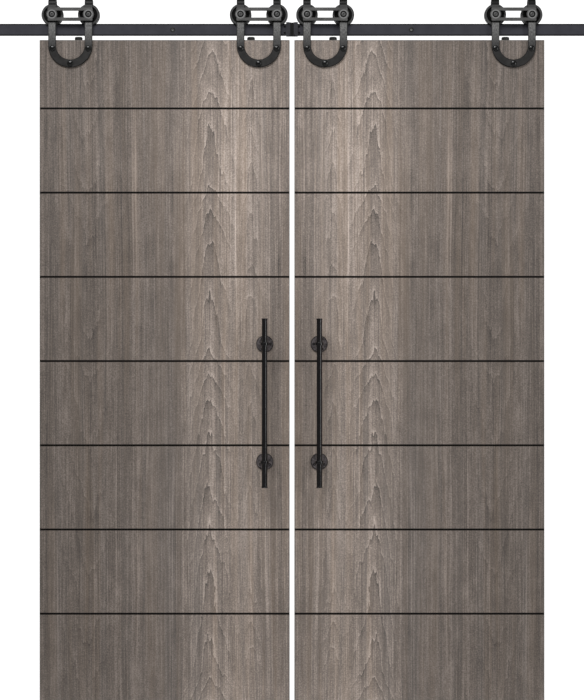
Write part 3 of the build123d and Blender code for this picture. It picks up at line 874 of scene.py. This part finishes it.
def strap(name, x):
    """A bent bar about a hanger's middle."""
    half = strap_half()
    flip = Matrix.Scale(-1, 3, (1, 0, 0))
    mirrored = [(flip @ middle, flip @ across, out, size) for middle, across, out, size in reversed(half[:-1])]
    shape = bmesh.new()
    rows = []
    for centre, across, out, size in half + mirrored:
        centre = centre + Vector((x, 0, 0))
        rows.append([shape.verts.new(centre + across * u + out * v) for u, v in strap_outline(size)])
    for first, second in zip(rows, rows[1:]):
        for i in range(len(first)):
            j = (i + 1) % len(first)
            shape.faces.new((first[i], first[j], second[j], second[i]))
    shape.faces.new(rows[0])
    shape.faces.new(reversed(rows[-1]))
    bmesh.ops.recalc_face_normals(shape, faces=shape.faces)
    return from_bmesh(name, shape)


def shade_tree():
    """Smooth shading with crisp edges, and a finish."""
    nodes, given = new_tree("shade", Finish="Material")
    return finish_tree(nodes, crisp(nodes, given, 28), given)


shade = shade_tree()
for side in sides:
    for where, x in zip(("outer", "inner"), hanger_x[side]):
        bar = grow(strap(f"{side}_{where}_strap", x), shade, Finish=strap_finish)
        settle(bar, f"{side}_door", "strap_black", f"{side}_{where}_horseshoe")
print("a strap:", len(bar.data.polygons), "faces,", [round(v, 4) for v in bar.dimensions])

# %% [markdown]
# ## Flat pieces with softer edges
# The links, the rail's cover and the end stops keep the solid's shape. A copy of each mesh is stitched
# together, its flat faces are made whole and its edges are broken by a hair, so that they catch the light.

# %% Refined copies
def refined(name, node, finish, edge=0.35 * mm):
    """A copy of a solid's mesh with soft edges."""
    shape = bmesh.new()
    shape.from_mesh(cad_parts[node].data)
    bmesh.ops.remove_doubles(shape, verts=shape.verts, dist=0.002 * mm)
    bmesh.ops.dissolve_limit(shape, angle_limit=math.radians(1), verts=shape.verts, edges=shape.edges)
    bmesh.ops.recalc_face_normals(shape, faces=shape.faces)
    piece = from_bmesh(name, shape)
    bevel = piece.modifiers.new("edges", "BEVEL")
    bevel.width, bevel.segments, bevel.angle_limit = edge, 2, math.radians(32)
    bevel.limit_method = "ANGLE"
    return grow(piece, shade, Finish=finish)


for side in sides:
    for where in ("outer", "inner"):
        plate = refined(f"{side}_{where}_link_plate", f"{side}_{where}_link", link_finish)
        settle(plate, f"{side}_door", "strap_black", f"{side}_{where}_link")
    block = refined(f"{side}_stop_block", f"{side}_end_stop", track_finish)
    settle(block, "track", "track_black", f"{side}_end_stop")
joint_cover = refined("joint_cover", "rail_cover", cover_finish)
settle(joint_cover, "track", "track_black", "rail_cover")
pads = refined("rubber_pads", "stop_bumpers", rubber_finish)
settle(pads, "track", "bumper_rubber", "stop_bumpers")
print("a link plate:", len(plate.data.polygons), "faces")

# %% [markdown]
# ## Bearings and sleeves
# Each wheel turns on a sealed ball bearing between two sleeves. Only their edges can be seen past the straps.

# %% Bearings
bearing_half = spread("left_bearing_1").y / 2
ring_wide, shield_back = 2.4 * mm, 0.6 * mm
axle_hole = 4.03 * mm
face = [(axle_hole, 0), (axle_hole + ring_wide, 0), (axle_hole + ring_wide, shield_back),
        (bearing_radius - ring_wide, shield_back), (bearing_radius - ring_wide, 0), (bearing_radius, 0)]
bearing_outline = [(r, y - bearing_half) for r, y in face] + [(r, bearing_half - y) for r, y in reversed(face)]
sleeve_length = bearing_half + 6.45 * mm
sleeve_gap = 13.5 * mm
sleeve = turned("sleeve", [(4 * mm, 0), (6.5 * mm, 0), (6.5 * mm, sleeve_length), (4 * mm, sleeve_length)],
                0.2 * mm, steel_finish, 32)
for side in sides:
    for number, x in enumerate(axle_x[side], start=1):
        ring = turned(f"{side}_ball_bearing_{number}", bearing_outline, 0.15 * mm, steel_finish, 48)
        place(ring, x, wheel_y, axle_z)
        settle(ring, f"{side}_roller_{number}", "bright_steel", f"{side}_bearing_{number}")
    starts = (wheel_y - sleeve_gap, wheel_y + sleeve_gap - sleeve_length)
    places = [(x, y, axle_z) for x in axle_x[side] for y in starts]
    sleeves = repeat(f"{side}_axle_sleeves", sleeve, places, steel_finish)
    settle(sleeves, f"{side}_door", "bright_steel", f"{side}_axle_spacers")
use_up(sleeve)
print("a sleeve is", round(sleeve_length / mm, 2), "mm long")

# %% [markdown]
# ## Guard discs, screws and rosettes
# A disc on the door's top keeps it from being lifted off the rail. The rosettes under the pull's posts are held
# by three screws each, sunk flush.

# %% Screws, discs and rosettes
down = (-math.pi / 2, 0, 0)
disc_height = 10 * mm
disc_outline = [(2.4, 0), (4.35, 0), (10, 0), (12, 2), (12, 10), (2.4, 10)]
rosette_wide = spread("left_upper_rosette").x / 2
rosette_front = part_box("left_upper_rosette")[0].y
rosette_deep = door_front - rosette_front
rosette_outline = [(0, 0), (rosette_wide - 1.8 * mm, 0), (rosette_wide - 0.6 * mm, 0.6 * mm),
                   (rosette_wide, 1.8 * mm), (rosette_wide, rosette_deep), (0, rosette_deep)]
screw_outline = [(0, 0), (4.2, 0), (2.25, 1.95), (2.25, 6), (2.25, 33), (0.4, 38), (0, 38)]


def in_mm(outline):
    """An outline given in millimetres, in metres."""
    return [(radius * mm, depth * mm) for radius, depth in outline]


def joined(name, parts):
    """One object from several."""
    shape = bmesh.new()
    for part in parts:
        shape.from_mesh(part.data)
    piece = from_bmesh(name, shape)
    for part in parts:
        if not piece.data.materials:
            piece.data.materials.append(part.data.materials[0])
        bpy.data.objects.remove(part)
    return piece


disc = turned("disc", in_mm(disc_outline), 0.5 * mm, disc_finish, 48)
flush_screw = socket(turned("flush_screw", in_mm(screw_outline), 0.1 * mm, bolt_finish, 36, closed=False),
                     2.6 * mm, 1.4 * mm, 0)
upright_screw = turned("upright_screw", in_mm(screw_outline), 0.1 * mm, bolt_finish, 36, closed=False)
screw_circle = 17 * mm
disc_offset = 24 * mm
for side, flip in zip(sides, (1, -1)):
    discs = [(hanger_x[side][0] + flip * disc_offset, wheel_y, door_high.z + disc_height),
             (hanger_x[side][1] - flip * disc_offset, wheel_y, door_high.z + disc_height)]
    guards = repeat(f"{side}_lift_guards", disc, discs, disc_finish, down)
    settle(guards, f"{side}_door", "disc_black", f"{side}_guard_discs")
    flush = []
    for z, start in zip(post_z, (0, 90)):
        for turn in [math.radians(start + 120 * i) for i in range(3)]:
            flush.append((pull_x[side] + flip * screw_circle * math.cos(turn), rosette_front - 0.05 * mm,
                          z + screw_circle * math.sin(turn)))
    heads = repeat(f"{side}_flush_heads", flush_screw, flush, bolt_finish)
    tops = repeat(f"{side}_disc_heads", upright_screw, discs, bolt_finish, down)
    settle(joined(f"{side}_screws", [heads, tops]), f"{side}_door", "fixings_black", f"{side}_wood_screws")
    for where, z in zip(("upper", "lower"), post_z):
        plate = turned(f"{side}_{where}_rose", rosette_outline, 0.5 * mm, rosette_finish, 96, closed=False)
        place(plate, pull_x[side], rosette_front, z)
        settle(plate, f"{side}_door", "rosette_dark", f"{side}_{where}_rosette")
use_up(disc, flush_screw, upright_screw)
print("screws in one door:", len(flush) + len(discs))

# %% [markdown]
# ## The pull
# A long tube stands off the door on two posts. Each post grips it with a collar, and a cap closes each end.

# %% Pulls
bar_low, bar_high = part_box("left_pull_bar")
cap_low, cap_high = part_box("left_pull_caps")
pull_y = (bar_low.y + bar_high.y) / 2
tube_radius = (bar_high.y - bar_low.y) / 2
tube_wall = 2 * mm
cap_radius = (cap_high.y - cap_low.y) / 2
cap_thick = cap_high.z - bar_high.z
collar_radius, collar_height = 13 * mm, 9 * mm
post_radius = 6.5 * mm
post_reach = rosette_front - pull_y
stem_start = 10 * mm
upright = Matrix.Rotation(-math.pi / 2, 4, "X")


def stood(obj, x, y, top):
    """Stand a turned piece up, its depth going down from a height."""
    obj.data.transform(upright)
    return place(obj, x, y, top)


for side in sides:
    x = pull_x[side]
    length = bar_high.z - bar_low.z
    inner = tube_radius - tube_wall
    tube = turned(f"{side}_pull_tube", [(inner, 0), (tube_radius, 0), (tube_radius, length), (inner, length)],
                  0.2 * mm, pull_finish, 64)
    settle(stood(tube, x, pull_y, bar_high.z), f"{side}_door", "pull_black", f"{side}_pull_bar")
    cap_outline = [(0, 0), (cap_radius, 0), (cap_radius, cap_thick), (inner, cap_thick), (inner, cap_thick + 8 * mm),
                   (0, cap_thick + 8 * mm)]
    ends = []
    for top, turn in ((cap_high.z, 0), (cap_low.z, math.pi)):
        end = turned("cap", cap_outline, 0.7 * mm, pull_finish, 64, closed=False)
        end.data.transform(Matrix.Rotation(turn, 4, "X"))
        ends.append(stood(end, x, pull_y, top))
    settle(joined(f"{side}_end_caps", ends), f"{side}_door", "pull_black", f"{side}_pull_caps")
    holds = []
    for z in post_z:
        collar = turned("collar", [(tube_radius, 0), (collar_radius, 0), (collar_radius, collar_height),
                                   (tube_radius, collar_height)], 1.0 * mm, pull_finish, 64)
        holds.append(stood(collar, x, pull_y, z + collar_height / 2))
        stem = turned("stem", [(0, 0), (post_radius, 0), (post_radius, post_reach - stem_start),
                               (4 * mm, post_reach - stem_start), (4 * mm, post_reach + 15 * mm),
                               (0, post_reach + 15 * mm)], 0.3 * mm, pull_finish, 48, closed=False)
        holds.append(place(stem, x, pull_y + stem_start, z))
    settle(joined(f"{side}_holders", holds), f"{side}_door", "pull_black", f"{side}_pull_posts")
print("pull tube:", round(length, 4), "long, standing", round(door_front - pull_y, 4), "off the door")

# %% [markdown]
# ## What holds the rail
# Lag screws go through the rail and a sleeve into the wall. Small screws hold the cover over the rail's joint and
# the stops at its ends.

# %% Rail fixings
def lag_colour(paint):
    """Black, with the light spot that the photograph shows in the middle of each head."""
    # Painted highlight: the light spot in the middle of each head.
    aside = ((abs(paint.x) / lag_x[0] + 0.5).fract() - 0.5) * lag_x[0]
    spot = ((3.2 * mm - from_line(aside, paint.z)) / (0.6 * mm)).clamped()
    return paint.mix(spot, between(grey(0.003), grey(0.008))(paint), grey(0.30))


lag_head = 8 * mm
lag_count = 4
lag_x = [(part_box("wall_lags")[1].x - lag_head) * (i + 1) / lag_count for i in range(lag_count)]
lag_places = [(side * x, rail_low.y, 0) for x in lag_x for side in (1, -1)]
lag_outline = in_mm([(0, 0), (8, 0), (4, 4), (3.5, 4), (3.5, 40)])
lag_outline += thread(4 * mm, 41 * mm, 83 * mm, 3 * mm, 0.8 * mm) + in_mm([(0.4, 91), (0, 91)])
lag = socket(turned("lag", lag_outline, 0.1 * mm, bolt_finish, 32, closed=False), 5 * mm, 3 * mm, 0)
tube = turned("standoff", in_mm([(4.2, 0), (9.5, 0), (9.5, 35), (4.2, 35)]), 0.4 * mm, track_finish, 48)
lag_finish = coat("lag_coat", lag_colour, 0.35)
settle(repeat("lag_screws", lag, lag_places, lag_finish), "track", "fixings_black", "wall_lags")
settle(repeat("standoff_tubes", tube, [(x, rail_high.y, z) for x, _, z in lag_places], track_finish),
       "track", "track_black", "wall_standoffs")
small_outline = in_mm([(0, 0), (3.8, 0), (2, 1.8), (2, 11), (0.4, 12), (0, 12)])
small = socket(turned("small_screw", small_outline, 0.1 * mm, bolt_finish, 28, closed=False), 2.2 * mm, 1 * mm, 0)
stop_low, stop_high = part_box("left_end_stop")
stop_x = (stop_low.x + stop_high.x) / 2
small_places = [(side * x, y, rise * 9.5 * mm) for side in (1, -1) for rise in (1, -1)
                for x, y in ((22 * mm, rail_low.y), (stop_x, stop_low.y))]
settle(repeat("small_screws", small, small_places, bolt_finish), "track", "fixings_black", "track_screws")
use_up(lag, tube, small)
print("lag screws:", len(lag_places), "at", [round(x, 4) for x in lag_x])

# %% [markdown]
# ## Finishes on the solids that stay
# The door slabs, their inlays, the rails and the splice plate are flat and right as they are. They only get
# their finishes.

# %% Finish the solids
def dress(node, finish):
    """Give a solid its finish."""
    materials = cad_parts[node].data.materials
    for i in range(len(materials)):
        materials[i] = finish
    if not len(materials):
        materials.append(finish)


for side in sides:
    dress(f"{side}_door_slab", door_finish)
    dress(f"{side}_inlay_strips", inlay_finish)
    dress(f"{side}_rail", rail_finish)
dress("splice_plate", track_finish)
print("solids that stay: 7")

# %% [markdown]
# ## Studio
# The pair hangs in front of a white sweep: a floor that curves up into a backdrop. Its own soft glow keeps it
# white, as in a product picture. From behind it can't be seen, so that the backs of the doors show too. Big soft
# lights stand in front, and the air is dim, because black metal looks black only where it mirrors something dark.

# %% Sweep, lights and camera
floor_z = door_low.z - 12 * mm
sweep_y, sweep_radius, sweep_front, sweep_wide, sweep_high = 1.6, 0.8, -7.0, 9.0, 5.0
profile = [(sweep_front, floor_z)]
for turn in [math.pi / 2 * i / 16 for i in range(17)]:
    profile.append((sweep_y - sweep_radius + sweep_radius * math.sin(turn),
                    floor_z + sweep_radius * (1 - math.cos(turn))))
profile.append((sweep_y, floor_z + sweep_high))
points = [(side * sweep_wide, y, z) for y, z in profile for side in (-1, 1)]
sweep = new_object("sweep", points, faces=[(2 * i, 2 * i + 1, 2 * i + 3, 2 * i + 2) for i in range(len(profile) - 1)])
white = Paint("white_sweep", 0.9, specular=0.0)
behind = ((white.y + 0.25) * 4.0).clamped()
white.feed("Base Color", white.mix(behind, (0.62, 0.62, 0.62), (0.25, 0.25, 0.25)))
white.feed("Emission Color", white.mix(behind, (0.0, 0.0, 0.0), (1.0, 1.0, 1.0)))
white.shader.inputs["Emission Strength"].default_value = 0.97
white.feed("Alpha", 1 - white.add("ShaderNodeNewGeometry").other("Backfacing"))
sweep.data.materials.append(white.material)


def softbox(name, at, look, wide, high, power):
    """A soft light that faces a point."""
    light = bpy.data.lights.new(name, "AREA")
    light.shape, light.size, light.size_y, light.energy = "RECTANGLE", wide, high, power
    lamp = bpy.data.objects.new(name, light)
    lamp.location = at
    lamp.rotation_euler = (Vector(look) - Vector(at)).to_track_quat("-Z", "Y").to_euler()
    bpy.context.scene.collection.objects.link(lamp)


middle_z = -0.976
softbox("top_light", (-1.0, -3.6, 3.2), (0, 0, middle_z), 3.0, 1.6, 230)
softbox("right_light", (3.4, -3.0, -0.3), (0, 0, middle_z), 0.8, 2.6, 45)
world = bpy.data.worlds.new("studio_air")
world.use_nodes = True
world.node_tree.nodes["Background"].inputs["Color"].default_value = (1, 1, 1, 1)
world.node_tree.nodes["Background"].inputs["Strength"].default_value = 0.22
bpy.context.scene.world = world

camera_distance = 7.0
frame_height = 2.1329
lens = bpy.data.cameras.new("long_lens")
lens.sensor_width = 36
lens.lens = lens.sensor_width * camera_distance / frame_height
camera = bpy.data.objects.new("camera", lens)
camera.location = (0, door_front - camera_distance, middle_z - 1.2 * mm)
camera.rotation_euler = (math.pi / 2, 0, 0)
bpy.context.scene.collection.objects.link(camera)
bpy.context.scene.camera = camera
bpy.context.scene.view_settings.view_transform = "Standard"
print("lens", round(lens.lens, 1), "mm at", camera_distance, "m")
